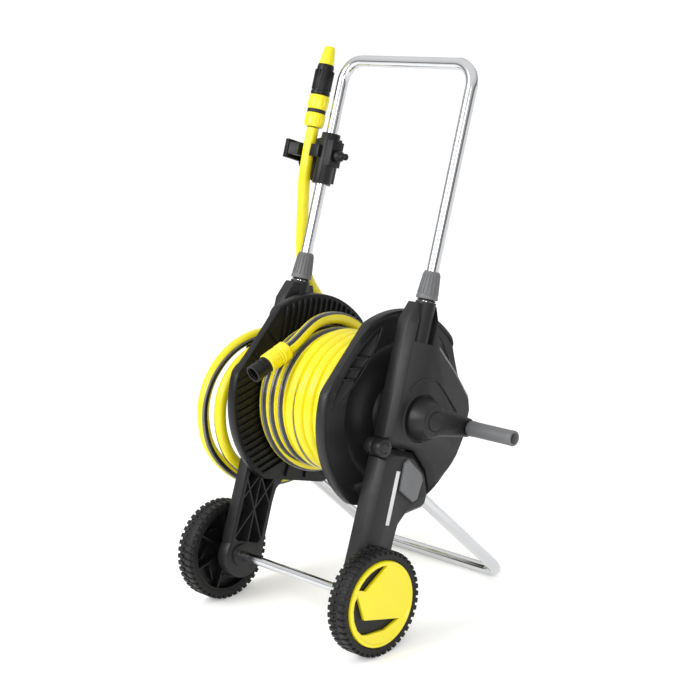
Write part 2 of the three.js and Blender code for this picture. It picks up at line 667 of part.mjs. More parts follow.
// ---- supply hose: from the elbow, two hung loops on the left, then up to the nozzle ----
const hungLoops = [
  [-178, 138.3, 301], [-178, 138.6, 289], [-178, 144, 264], [-178, 160, 237], [-178, 185, 218],
  [-178, 218, 210], [-178, 251, 216], [-178, 278.5, 234.5], [-178, 295.7, 260], [-179, 302, 293], [-180, 297, 326],
  [-181, 280, 357], [-183, 250, 382], [-184, 206, 397], [-186, 156, 402],
  [-187, 106, 395], [-188, 67, 376], [-189, 38, 344], [-189, 26, 304],
  [-189, 28, 264], [-190, 44, 226], [-190, 73, 197], [-191, 112, 182], [-193, 154, 180], [-196, 196, 192],
  [-199, 230, 218], [-201, 252, 256], [-202, 260, 298], [-204, 252, 342], [-205, 228, 380], [-206, 190, 402],
  [-208, 146, 413], [-209, 102, 409], [-209, 60, 391], [-209, 28, 361], [-209, 10, 324], [-209, 7, 284],
  [-210, 17, 246], [-210, 40, 212], [-210, 74, 182], [-210, 112, 162], [-208, 154, 152], [-206, 196, 152],
  [-204, 237, 170], [-203, 266, 208], [-202, 278, 258], [-202, 281, 304], [-202.5, 278, 350], [-201, 273, 396],
];
const riser = [
  [-194, 269, 440], [-193, 246, 482], [-190, 231, 513], [-187, 226, 542], [-185, 227, 572], [-184, 230, 604],
  [-181, 231.5, 636], [-178, 233.5, 667], [-175.8, 239.2, 694], [-175, 247.2, 720.9], [-175, 256.5, 745.4],
];
const hoseCurve = new THREE.CatmullRomCurve3(
  [...hungLoops, ...riser].map(([x, y, z]) => new THREE.Vector3(x, y, z)), false, 'centripetal');

place('supply_loops', hoseAlong(hoseCurve, 0, 0.8595, 56), yellow, cart);
place('supply_riser', hoseAlong(hoseCurve, 0.86, 1, 10), yellow, cart);

// a shelf on the left panel that the loops hang over
place('hose_hanger', join(
  block([-frameOuterX - 4, 116, 368], [-frameOuterX - gap, 162, 387]),
  block([-226, 122, 374], [-frameOuterX - gap, 158, 387]),
  block([-226, 122, 374], [-222.5, 158, 400]),
), black, cart);

// ---- origin: centred under the cart, on the floor ----
const cordNames = ['supply_loops', 'supply_riser', 'hose_winding', 'hose_tail', 'coupling_nut', 'coupling_mouth'];
const extent = new THREE.Box3();
cart.updateMatrixWorld(true);
cart.traverse((item) => {
  if (item.isMesh && !cordNames.includes(item.name)) extent.expandByObject(item, true);
});
const shift = extent.getCenter(new THREE.Vector3());
cart.position.set(-shift.x, -shift.y, -extent.min.z);

export default cart;
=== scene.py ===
import math

import bpy
from mathutils import Matrix, Vector


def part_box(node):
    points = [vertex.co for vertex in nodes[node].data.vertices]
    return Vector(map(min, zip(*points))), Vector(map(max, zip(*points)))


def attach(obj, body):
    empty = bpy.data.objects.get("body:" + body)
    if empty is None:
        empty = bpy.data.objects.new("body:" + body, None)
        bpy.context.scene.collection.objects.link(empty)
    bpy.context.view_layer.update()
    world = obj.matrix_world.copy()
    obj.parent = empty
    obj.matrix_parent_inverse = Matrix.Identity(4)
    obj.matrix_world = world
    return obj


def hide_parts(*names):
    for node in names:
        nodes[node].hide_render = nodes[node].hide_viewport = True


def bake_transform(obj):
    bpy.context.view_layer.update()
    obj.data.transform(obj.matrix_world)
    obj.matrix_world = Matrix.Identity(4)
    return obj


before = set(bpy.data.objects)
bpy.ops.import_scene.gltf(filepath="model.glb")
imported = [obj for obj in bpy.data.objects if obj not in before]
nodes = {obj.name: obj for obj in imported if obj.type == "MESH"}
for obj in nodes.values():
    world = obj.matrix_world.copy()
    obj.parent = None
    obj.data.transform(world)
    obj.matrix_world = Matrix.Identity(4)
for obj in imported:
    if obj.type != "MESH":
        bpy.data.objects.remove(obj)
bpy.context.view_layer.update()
print("frame loaded:", len(nodes), "CAD nodes")

# The cart's own frame has its origin in the middle of the wheel axle. The side frames lean back from
# there: in their plane y runs to the back, z runs up, and the drum's shaft crosses at shaftSpot.
leanAngle = math.radians(20.9)
axleLow, axleHigh = (Vector(corner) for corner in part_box("axle_rod"))
axle = (axleLow + axleHigh) / 2
wheelRadius = axle.z
cartPlace = Matrix.Translation(axle)
leanPlace = cartPlace @ Matrix.Rotation(-leanAngle, 4, "X")
shaftSpot = (0.040, 0.283)
drumPlace = leanPlace @ Matrix.Translation((0, *shaftSpot))
drumLevel = drumPlace @ Matrix.Rotation(leanAngle, 4, "X")
alongX = Matrix.Rotation(math.radians(90), 4, "Y")


def cartPoint(x, y, z):
    # millimetres from the floor point under the axle's middle
    return Vector((axle.x + x / 1000, axle.y + y / 1000, z / 1000))


cameraLook = {"azimuth": 46.2, "elevation": 14.5, "roll": 3.0, "lens": 83.4, "sensor": 36,
              "farthest": 50, "place": (1800.0, -1579.2, 1060.1)}


def makeCamera(look):
    az, el, roll = (math.radians(look[key]) for key in ("azimuth", "elevation", "roll"))
    ahead = Vector((-math.sin(az) * math.cos(el), math.cos(az) * math.cos(el), -math.sin(el)))
    right = Vector((math.cos(az), math.sin(az), 0))
    above = right.cross(ahead)
    turnedRight = right * math.cos(roll) - above * math.sin(roll)
    turnedAbove = above * math.cos(roll) + right * math.sin(roll)
    bpy.ops.object.camera_add(location=cartPoint(*look["place"]))
    camera = bpy.context.object
    camera.name = "camera"
    axes = Matrix((turnedRight, turnedAbove, -ahead)).transposed()
    camera.rotation_mode = "QUATERNION"
    camera.rotation_quaternion = axes.to_quaternion()
    camera.data.lens = look["lens"]
    camera.data.sensor_width = look["sensor"]
    camera.data.clip_end = look["farthest"]
    bpy.context.scene.camera = camera


makeCamera(cameraLook)


def only(*objects):
    if bpy.context.mode != "OBJECT":
        bpy.ops.object.mode_set(mode="OBJECT")
    bpy.ops.object.select_all(action="DESELECT")
    for item in objects:
        item.select_set(True)
    bpy.context.view_layer.objects.active = objects[0]


def startEdit(obj):
    only(obj)
    bpy.ops.object.mode_set(mode="EDIT")
    bpy.ops.mesh.select_all(action="SELECT")


def endEdit():
    bpy.ops.object.mode_set(mode="OBJECT")


def applyModifiers(obj):
    only(obj)
    for modifier in list(obj.modifiers):
        bpy.ops.object.modifier_apply(modifier=modifier.name)


def tidyMesh(obj):
    startEdit(obj)
    bpy.ops.mesh.remove_doubles(threshold=0.00002)
    bpy.ops.mesh.normals_make_consistent(inside=False)
    endEdit()
    return obj


def smoothed(obj, angle=35):
    only(obj)
    bpy.ops.object.shade_smooth_by_angle(angle=math.radians(angle))
    return obj


def roundEdges(obj, width, segments=2, limit=30):
    bevel = obj.modifiers.new("roundEdges", "BEVEL")
    bevel.width = width
    bevel.segments = segments
    bevel.limit_method = "ANGLE"
    bevel.angle_limit = math.radians(limit)
    bevel.use_clamp_overlap = True
    applyModifiers(obj)


def placed(obj, matrix):
    obj.data.transform(matrix)
    return obj


def copyOf(obj, name):
    twin = obj.copy()
    twin.data = obj.data.copy()
    twin.name = name
    bpy.context.collection.objects.link(twin)
    return twin


def turnedOver(obj):
    placed(obj, Matrix.Scale(-1, 4, (1, 0, 0)))
    startEdit(obj)
    bpy.ops.mesh.flip_normals()
    endEdit()
    return obj


def mirrorOf(obj, name):
    return turnedOver(copyOf(obj, name))


def joined(first, *others):
    only(first, *others)
    bpy.ops.object.join()
    return first


def carve(obj, tool):
    cutter = obj.modifiers.new("carve", "BOOLEAN")
    cutter.operation = "DIFFERENCE"
    cutter.solver = "EXACT"
    cutter.object = tool
    applyModifiers(obj)
    bpy.data.objects.remove(tool)


def turned(name, rings, sides=48, hollow=False):
    # a turned shape along +Z: each ring is (radius, height)
    bpy.ops.object.select_all(action="DESELECT")
    bpy.ops.mesh.primitive_circle_add(vertices=sides, radius=rings[0][0],
                                      fill_type="NOTHING" if hollow else "NGON")
    obj = bpy.context.object
    obj.name = name
    startEdit(obj)
    bpy.ops.transform.translate(value=(0, 0, rings[0][1]))
    for (radius, height), (nextRadius, nextHeight) in zip(rings, rings[1:]):
        bpy.ops.mesh.extrude_region_move(TRANSFORM_OT_translate={"value": (0, 0, nextHeight - height)})
        share = nextRadius / radius
        bpy.ops.transform.resize(value=(share, share, 1), center_override=(0, 0, nextHeight))
    endEdit()
    return tidyMesh(obj)


def barAt(name, size, centre, edge=0.0, turn=None):
    bpy.ops.object.select_all(action="DESELECT")
    bpy.ops.mesh.primitive_cube_add(size=1)
    obj = bpy.context.object
    obj.name = name
    startEdit(obj)
    bpy.ops.transform.resize(value=size)
    endEdit()
    if edge:
        roundEdges(obj, edge)
    place = Matrix.Translation(centre)
    return placed(obj, place @ turn if turn is not None else place)


def prism(name, outline, low, high):
    # a flat outline in (y, z), pulled along X
    bpy.ops.object.select_all(action="DESELECT")
    bpy.ops.mesh.primitive_circle_add(vertices=len(outline), radius=0.01, fill_type="NGON")
    obj = bpy.context.object
    obj.name = name
    for vertex, (y, z) in zip(obj.data.vertices, outline):
        vertex.co = (low, y, z)
    startEdit(obj)
    bpy.ops.mesh.extrude_region_move(TRANSFORM_OT_translate={"value": (high - low, 0, 0)})
    endEdit()
    return tidyMesh(obj)


def fromCad(node, name, edge, segments=2):
    # a CAD node's own shape with its edges rounded
    obj = nodes[node].copy()
    obj.data = nodes[node].data.copy()
    obj.name = name
    for key in [k for k in obj.keys() if k.startswith("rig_")]:
        del obj[key]
    bpy.context.collection.objects.link(obj)
    obj.parent = None
    obj.matrix_world = Matrix.Identity(4)
    obj.data.materials.clear()
    startEdit(obj)
    bpy.ops.mesh.remove_doubles(threshold=0.00003)
    bpy.ops.mesh.dissolve_limited(angle_limit=math.radians(1.0))
    bpy.ops.mesh.normals_make_consistent(inside=False)
    endEdit()
    roundEdges(obj, edge, segments, 32)
    return smoothed(obj, 40)


def piece(obj, body, slot, material, *replaced):
    obj.data.materials.clear()
    obj.data.materials.append(material)
    for polygon in obj.data.polygons:
        polygon.material_index = 0
    if body:
        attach(obj, body)
    if replaced:
        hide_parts(*replaced)
    return obj


def dressed(material, *names):
    for name in names:
        mesh = nodes[name].data
        mesh.materials.clear()
        mesh.materials.append(material)


class Field:
    # one output socket, on which sums are written as usual
    def __init__(self, maker, socket):
        self.maker, self.socket = maker, socket

    def maths(self, operation, first, second):
        return self.maker.node("ShaderNodeMath", {"operation": operation}, {0: first, 1: second})

    def __add__(self, other):
        return self.maths("ADD", self, other)

    __radd__ = __add__

    def __sub__(self, other):
        return self.maths("SUBTRACT", self, other)

    def __rsub__(self, other):
        return self.maths("SUBTRACT", other, self)

    def __mul__(self, other):
        return self.maths("MULTIPLY", self, other)

    __rmul__ = __mul__

    def __lt__(self, other):
        return self.maths("LESS_THAN", self, other)


class Finish:
    def __init__(self, name, colour, roughness, metallic=0.0, coat=0.0):
        self.material = bpy.data.materials.new(name)
        self.material.use_nodes = True
        self.tree = self.material.node_tree
        self.shader = self.tree.nodes["Principled BSDF"]
        self.shader.inputs["Base Color"].default_value = (*colour, 1)
        self.shader.inputs["Roughness"].default_value = roughness
        self.shader.inputs["Metallic"].default_value = metallic
        self.shader.inputs["Coat Weight"].default_value = coat
        self.material.diffuse_color = (*colour, 1)

    def node(self, kind, settings, sockets, output=0):
        made = self.tree.nodes.new(kind)
        for key, value in settings.items():
            if key == "stops":
                ramp = made.color_ramp
                while len(ramp.elements) < len(value):
                    ramp.elements.new(0.5)
                for element, (position, shade) in zip(ramp.elements, value):
                    element.position = position
                    element.color = (*shade, 1)
            else:
                setattr(made, key, value)
        for key, value in sockets.items():
            if isinstance(value, Field):
                self.tree.links.new(value.socket, made.inputs[key])
            else:
                made.inputs[key].default_value = value
        return Field(self, made.outputs[output])

    def coordinates(self, kind="Object"):
        return self.node("ShaderNodeTexCoord", {}, {}, kind)

    def noise(self, scale, detail=2.0, place=None):
        return self.node("ShaderNodeTexNoise", {}, {
            "Vector": place or self.coordinates(), "Scale": scale, "Detail": detail}, "Fac")

    def ramp(self, value, stops):
        return self.node("ShaderNodeValToRGB", {"stops": stops}, {"Fac": value}, "Color")

    def mixed(self, share, first, second):
        return self.node("ShaderNodeMix", {"data_type": "RGBA"}, {0: share, 6: first, 7: second}, 2)

    def use(self, socket, field):
        self.tree.links.new(field.socket, self.shader.inputs[socket])

    def bump(self, height, strength, distance):
        self.use("Normal", self.node("ShaderNodeBump", {}, {
            "Height": height, "Strength": strength, "Distance": distance}, "Normal"))


def grainyPlastic(name, colour, roughness, variation, grain, coat=0.0, gloss=0.5):
    finish = Finish(name, colour, roughness, 0.0, coat)
    finish.shader.inputs["Specular IOR Level"].default_value = gloss
    cloud = finish.noise(9, 3)
    low = tuple(c * (1 - variation) for c in colour)
    high = tuple(min(1, c * (1 + variation)) for c in colour)
    finish.use("Base Color", finish.ramp(cloud, [(0.3, low), (0.7, high)]))
    finish.use("Roughness", finish.noise(60, 4) * 0.16 + (roughness - 0.08))
    finish.bump(finish.noise(1400, 3) + finish.noise(300, 2) * 0.4, grain, 0.0003)
    return finish.material


blackPlastic = grainyPlastic("blackPlastic", (0.0042, 0.0042, 0.0046), 0.38, 0.22, 0.22, gloss=0.28)
charcoalPlastic = grainyPlastic("charcoalPlastic", (0.0095, 0.0095, 0.0102), 0.40, 0.18, 0.28,
                                gloss=0.34)
greyPlastic = grainyPlastic("greyPlastic", (0.120, 0.122, 0.126), 0.50, 0.14, 0.35)
yellowPlastic = grainyPlastic("yellowPlastic", (0.76, 0.65, 0.005), 0.34, 0.04, 0.10, 0.25)
tyreRubber = grainyPlastic("tyreRubber", (0.0060, 0.0060, 0.0065), 0.52, 0.3, 0.45, gloss=0.30)
blackRubber = grainyPlastic("blackRubber", (0.0060, 0.0060, 0.0060), 0.62, 0.2, 0.3)
paleStrip = grainyPlastic("paleStrip", (0.62, 0.62, 0.62), 0.5, 0.05, 0.1)


def drawnMetal(name, colour, roughness, stretch):
    finish = Finish(name, colour, roughness, 1.0)
    place = finish.node("ShaderNodeMapping", {}, {
        "Vector": finish.coordinates(), "Scale": stretch}, "Vector")
    streaks = finish.noise(1.0, 3, place)
    finish.use("Roughness", streaks * 0.10 + (roughness - 0.05))
    finish.use("Base Color", finish.ramp(finish.noise(14, 2), [
        (0.3, tuple(c * 0.95 for c in colour)), (0.7, colour)]))
    finish.bump(streaks, 0.02, 0.0001)
    return finish.material


brightTube = drawnMetal("brightTube", (0.62, 0.63, 0.645), 0.13, (300, 300, 300))
platedSteel = drawnMetal("platedSteel", (0.58, 0.58, 0.6), 0.3, (300, 60, 60))

# each stripe is (where it lies round the hose, half its width), both as shares of the way round
hoseLook = {"darkStripe": (0.5, 0.047), "greyStripe": (0.576, 0.030), "ribs": 36, "weave": 900.0,
            "yellow": [(0.3, (0.70, 0.595, 0.003)), (0.7, (0.78, 0.68, 0.006))],
            "dark": [(0.0, (0.006, 0.006, 0.007)), (1.0, (0.020, 0.020, 0.021))],
            "grey": [(0.3, (0.13, 0.13, 0.125)), (0.7, (0.18, 0.18, 0.175))]}


def hoseFinish(look):
    # the second UV value runs round the hose, the first along it in metres
    finish = Finish("yellowHose", (0.76, 0.65, 0.005), 0.36, 0.0, 0.2)
    along = finish.node("ShaderNodeSeparateXYZ", {}, {"Vector": finish.coordinates("UV")}, "X")
    around = Field(finish, along.socket.node.outputs["Y"])

    def stripe(middle, half):
        return finish.node("ShaderNodeMath", {"operation": "ABSOLUTE"}, {0: around - middle}) < half

    def waves(value):
        return finish.node("ShaderNodeMath", {"operation": "SINE"}, {0: value})

    yellow = finish.ramp(finish.noise(22, 2), look["yellow"])
    grey = finish.ramp(finish.noise(90, 2), look["grey"])
    dark = finish.ramp(finish.noise(300, 1) * 0.2, look["dark"])
    greyAndYellow = finish.mixed(stripe(*look["greyStripe"]), yellow, grey)
    finish.use("Base Color", finish.mixed(stripe(*look["darkStripe"]), greyAndYellow, dark))
    finish.use("Roughness", finish.noise(40, 3) * 0.12 + 0.30)
    ribs = waves(around * (2 * math.pi * look["ribs"])) * 0.5
    weave = waves(along * look["weave"]) * 0.15
    finish.bump(ribs + weave + finish.noise(900, 2) * 0.3, 0.12, 0.0003)
    return finish.material


yellowHose = hoseFinish(hoseLook)
print("materials made")


def smoothPath(points, spacing):
    # centripetal Catmull-Rom through the points, sampled at an even spacing
    padded = [points[0] * 2 - points[1]] + list(points) + [points[-1] * 2 - points[-2]]
    steps = 12  # between two points, before the even sampling
    fine = []
    for p0, p1, p2, p3 in zip(padded, padded[1:], padded[2:], padded[3:]):
        t0 = 0.0
        t1 = t0 + max((p1 - p0).length, 1e-9) ** 0.5
        t2 = t1 + max((p2 - p1).length, 1e-9) ** 0.5
        t3 = t2 + max((p3 - p2).length, 1e-9) ** 0.5
        for i in range(steps):
            t = t1 + (t2 - t1) * i / steps
            a1 = p0 * ((t1 - t) / (t1 - t0)) + p1 * ((t - t0) / (t1 - t0))
            a2 = p1 * ((t2 - t) / (t2 - t1)) + p2 * ((t - t1) / (t2 - t1))
            a3 = p2 * ((t3 - t) / (t3 - t2)) + p3 * ((t - t2) / (t3 - t2))
            b1 = a1 * ((t2 - t) / (t2 - t0)) + a2 * ((t - t0) / (t2 - t0))
            b2 = a2 * ((t3 - t) / (t3 - t1)) + a3 * ((t - t1) / (t3 - t1))
            fine.append(b1 * ((t2 - t) / (t2 - t1)) + b2 * ((t - t1) / (t2 - t1)))
    fine.append(points[-1])
    lengths = [0.0]
    for a, b in zip(fine, fine[1:]):
        lengths.append(lengths[-1] + (b - a).length)
    count = max(2, round(lengths[-1] / spacing))
    even, k = [], 0
    for i in range(count + 1):
        want = lengths[-1] * i / count
        while k < len(fine) - 2 and lengths[k + 1] < want:
            k += 1
        share = (want - lengths[k]) / max(lengths[k + 1] - lengths[k], 1e-9)
        even.append(fine[k].lerp(fine[k + 1], min(share, 1)))
    return even


def pathLength(points):
    return sum((b - a).length for a, b in zip(points, points[1:]))


def hoseTube(name, points, radius, sides, facing):
    # facing(i, point, ahead) gives the direction where the printed stripe lies
    mesh = bpy.data.meshes.new(name)
    vertices, faces, uvs = [], [], []
    run = 0.0
    runs = []
    for i, point in enumerate(points):
        ahead = (points[min(i + 1, len(points) - 1)] - points[max(i - 1, 0)]).normalized()
        out = facing(i, point, ahead)
        out = (out - ahead * out.dot(ahead)).normalized()
        side = ahead.cross(out)
        if i:
            run += (point - points[i - 1]).length
        runs.append(run)
        for j in range(sides):
            turn = 2 * math.pi * (j / sides - 0.5)
            vertices.append(point + (out * math.cos(turn) + side * math.sin(turn)) * radius)
    for i in range(len(points) - 1):
        for j in range(sides):
            k = (j + 1) % sides
            faces.append((i * sides + j, i * sides + k, (i + 1) * sides + k, (i + 1) * sides + j))
            u0, u1 = runs[i], runs[i + 1]
            v0, v1 = j / sides, (j + 1) / sides
            uvs += [(u0, v0), (u0, v1), (u1, v1), (u1, v0)]
    last = (len(points) - 1) * sides
    faces.append(tuple(reversed(range(sides))))
    faces.append(tuple(last + j for j in range(sides)))
    uvs += [(0.0, 0.0)] * sides + [(run, 0.0)] * sides
    mesh.from_pydata(vertices, [], faces)
    layer = mesh.uv_layers.new(name="UVMap")
    for loop, uv in zip(layer.data, uvs):
        loop.uv = uv
    obj = bpy.data.objects.new(name, mesh)
    bpy.context.collection.objects.link(obj)
    startEdit(obj)
    bpy.ops.mesh.normals_make_consistent(inside=False)
    endEdit()
    return smoothed(obj, 60)


def edgeTube(name, points, radius):
    # a round ridge along a line of points
    curve = bpy.data.curves.new(name, "CURVE")
    curve.dimensions = "3D"
    curve.bevel_depth = radius
    curve.bevel_resolution = 3
    curve.use_fill_caps = True
    line = curve.splines.new("POLY")
    line.points.add(len(points) - 1)
    for target, point in zip(line.points, points):
        target.co = (*point, 1)
    obj = bpy.data.objects.new(name, curve)
    bpy.context.collection.objects.link(obj)
    only(obj)
    bpy.ops.object.convert(target="MESH")
    return tidyMesh(bpy.context.object)


supply = {"radius": 0.010, "sides": 20, "spacing": 0.009, "stripeTurn": 0.7, "stripeSway": 1.5,
          "stripeWaves": 9.0}
hungLoops = [
    (-178, 138.3, 301), (-178, 138.6, 289), (-178, 144, 264), (-178, 160, 237), (-178, 185, 218),
    (-178, 218, 210), (-178, 251, 216), (-178, 278.5, 234.5), (-178, 295.7, 260), (-179, 302, 293),
    (-180, 297, 326), (-181, 280, 357), (-183, 250, 382), (-184, 206, 397), (-186, 156, 402),
    (-187, 106, 395), (-188, 67, 376), (-189, 38, 344), (-189, 26, 304), (-189, 28, 264),
    (-190, 44, 226), (-190, 73, 197), (-191, 112, 182), (-193, 154, 180), (-196, 196, 192),
    (-199, 230, 218), (-201, 252, 256), (-202, 260, 298), (-204, 252, 342), (-205, 228, 380),
    (-206, 190, 402), (-208, 146, 413), (-209, 102, 409), (-209, 60, 391), (-209, 28, 361),
    (-209, 10, 324), (-209, 7, 284), (-210, 17, 246), (-210, 40, 212), (-210, 74, 182),
    (-210, 112, 162), (-208, 154, 152), (-206, 196, 152), (-204, 237, 170), (-203, 266, 208),
    (-202, 278, 258), (-202, 281, 304), (-202.5, 278, 350), (-201, 273, 396),
]
riser = [
    (-194, 269, 440), (-193, 246, 482), (-190, 231, 513), (-187, 226, 542), (-185, 227, 572),
    (-184, 230, 604), (-181, 231.5, 636), (-178, 233.5, 667), (-175.8, 239.2, 694),
    (-175, 247.2, 720.9), (-175, 256.5, 745.4),
]
supplyPath = smoothPath([cartPoint(*p) for p in hungLoops + riser], supply["spacing"])


def supplyFacing(i, point, ahead):
    # the stripe wanders a little round the hose on its way
    sway = math.sin(i / len(supplyPath) * supply["stripeWaves"])
    turn = supply["stripeTurn"] + supply["stripeSway"] * sway
    return Matrix.Rotation(turn, 3, ahead) @ Vector((0.75, -0.55, 0.2))


supplyHose = hoseTube("supplyHose", supplyPath, supply["radius"], supply["sides"], supplyFacing)
piece(supplyHose, None, "yellow_hose", yellowHose, "supply_loops", "supply_riser")
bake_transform(supplyHose)
round(pathLength(supplyPath), 3)

wound = {"radius": 0.010, "sides": 14, "spacing": 0.0125, "layers": (0.0862, 0.1058), "turns": 7.69,
         "half": 0.0805, "steps": 44, "climbShare": 0.02, "stripeTurn": 2.98, "stripeDrift": 2.70}


def windingPath():
    # layer upon layer between the flanges, along X and round the shaft
    points = []
    angle = 0.0
    side = -1
    for index, radius in enumerate(wound["layers"]):
        nextRadius = wound["layers"][min(index + 1, 1)]
        turns = wound["turns"]
        steps = round(turns * wound["steps"])
        for i in range(steps):
            share = i / steps
            climb = max(0.0, share - 1 + wound["climbShare"]) / wound["climbShare"]
            r = radius + (nextRadius - radius) * climb
            wave = 0.0006 * math.sin(angle * 3.1 + index) + 0.0004 * math.sin(angle * 1.7)
            x = side * wound["half"] * (1 - 2 * share) + wave
            points.append(Vector((x, r * math.cos(angle), r * math.sin(angle))))
            angle += 2 * math.pi / wound["steps"]
        side = -side
    return points, angle


winding, lastAngle = windingPath()
couplingStart = Vector((-0.041, -0.0894, 0.0986))
couplingAim = Vector((-2.5, -70.6, -24.9)).normalized()
# the tail passes over the winding: each turn is (degrees round the shaft, x in mm, lift in mm)
tail = {"reach": 0.1263, "startX": -0.058, "startReach": 0.1283,
        "turns": [(20, -58, 2), (44, -58, 2), (66, -56, 2), (86, -50.5, 2), (102, -45, 2.2)]}
tailPoints = []
for turnDegrees, x, lift in tail["turns"]:
    reach = tail["reach"] + lift / 1000
    turn = math.radians(turnDegrees)
    tailPoints.append(Vector((x / 1000, reach * math.cos(turn), reach * math.sin(turn))))
tailPoints += [couplingStart - couplingAim * 0.014, couplingStart - couplingAim * 0.0003]
# the last turn climbs out of the outer layer behind the drum, to where the tail begins
endTurn = math.radians(tail["turns"][0][0])
climbTo = endTurn + 2 * math.pi * (math.floor((lastAngle - endTurn) / (2 * math.pi)) + 1)
climb = []
climbSteps = max(6, round((climbTo - lastAngle) / math.radians(12)))
startX = winding[-1].x
for i in range(1, climbSteps):
    share = i / climbSteps
    angle = lastAngle + (climbTo - lastAngle) * share
    ease = share * share * (3 - 2 * share)
    reach = wound["layers"][1] + (tail["startReach"] - wound["layers"][1]) * ease
    x = startX + (tail["startX"] - startX) * ease
    climb.append(Vector((x, reach * math.cos(angle), reach * math.sin(angle))))
woundPath = smoothPath([drumLevel @ p for p in winding + climb + tailPoints], wound["spacing"])


def woundFacing(i, point, ahead):
    # the stripe lies inwards, and turns outwards on the left turns of the outer layer
    centre = drumLevel.translation
    out = Vector((0, point.y - centre.y, point.z - centre.z)).normalized()
    outerLayer = i / len(woundPath) > 0.45
    ease = min(1, max(0, (-0.010 - (point.x - centre.x)) / 0.018)) if outerLayer else 0
    turn = wound["stripeTurn"] + wound["stripeDrift"] * ease * ease * (3 - 2 * ease)
    return Matrix.Rotation(turn, 3, ahead) @ out


woundHose = hoseTube("woundHose", woundPath, wound["radius"], wound["sides"], woundFacing)
print("hoses made:", round(pathLength(supplyPath), 2), "m and", round(pathLength(woundPath), 2), "m")

coupling = {"radius": 0.0160, "nutLength": 0.044, "grips": 18}
towardsMouth = (drumLevel @ Matrix.Translation(couplingStart)
                @ couplingAim.to_track_quat("Z", "Y").to_matrix().to_4x4())


def makeCoupling(size):
    r = size["radius"]
    nut = turned("couplingNut", [
        (r - 0.004, 0.0), (r - 0.0012, 0.0008), (r, 0.0025), (r, 0.0150), (r - 0.0012, 0.0162),
        (r - 0.0012, 0.0178), (r - 0.0004, 0.0188), (r - 0.0004, 0.0208), (r - 0.0016, 0.0218),
        (r - 0.0016, 0.0232), (r, 0.0245), (r, 0.0425), (r - 0.0015, size["nutLength"])], 48)
    ribs = []
    for i in range(size["grips"]):
        turn = 2 * math.pi * i / size["grips"]
        rib = barAt("couplingRib", (0.0016, 0.0024, 0.0110), (r - 0.0009, 0, 0.0088), 0.0005)
        ribs.append(placed(rib, Matrix.Rotation(turn, 4, "Z")))
    nut = smoothed(joined(nut, *ribs), 35)
    placed(nut, towardsMouth)
    m = r - 0.002
    mouth = turned("couplingMouth", [
        (m - 0.003, 0.0443), (m, 0.0445), (m, 0.0480), (m - 0.0016, 0.0490), (m - 0.0016, 0.0530),
        (m, 0.0540), (m, 0.0560), (m - 0.0016, 0.0570), (m - 0.0016, 0.0610), (m, 0.0620), (m, 0.0735),
        (m - 0.0005, 0.0740), (m - 0.0022, 0.0740), (m - 0.0028, 0.0734), (m - 0.0028, 0.0705),
        (m - 0.0036, 0.0700), (m - 0.0036, 0.0675), (m - 0.0028, 0.0670), (m - 0.0028, 0.0600),
        (m - 0.006, 0.0582)], 48)
    placed(smoothed(mouth, 35), towardsMouth)
    return nut, mouth


couplingNut, couplingMouth = makeCoupling(coupling)
piece(couplingNut, "drum", "yellow_plastic", yellowPlastic, "coupling_nut")
piece(couplingMouth, "drum", "black_plastic", blackPlastic, "coupling_mouth")
piece(woundHose, "drum", "yellow_hose", yellowHose, "hose_winding", "hose_tail")
round(pathLength(woundPath), 3)
print("coupling made")

flange = {"radius": 0.162, "flat": 0.147, "inner": 0.092, "rim": 0.110, "firstFlat": 33,
          "ribsEachSide": 7, "ribPitch": 0.0118, "ribWide": 0.0028, "ribHigh": 0.0026,
          "ribStart": 0.079, "shortestRib": 0.012, "armTurn": 9, "leafIn": 0.026}
leaf = [(0.0010, -0.078), (0.0075, -0.062), (0.0125, -0.035), (0.0145, 0.0), (0.0125, 0.035),
        (0.0075, 0.062), (0.0010, 0.078)]


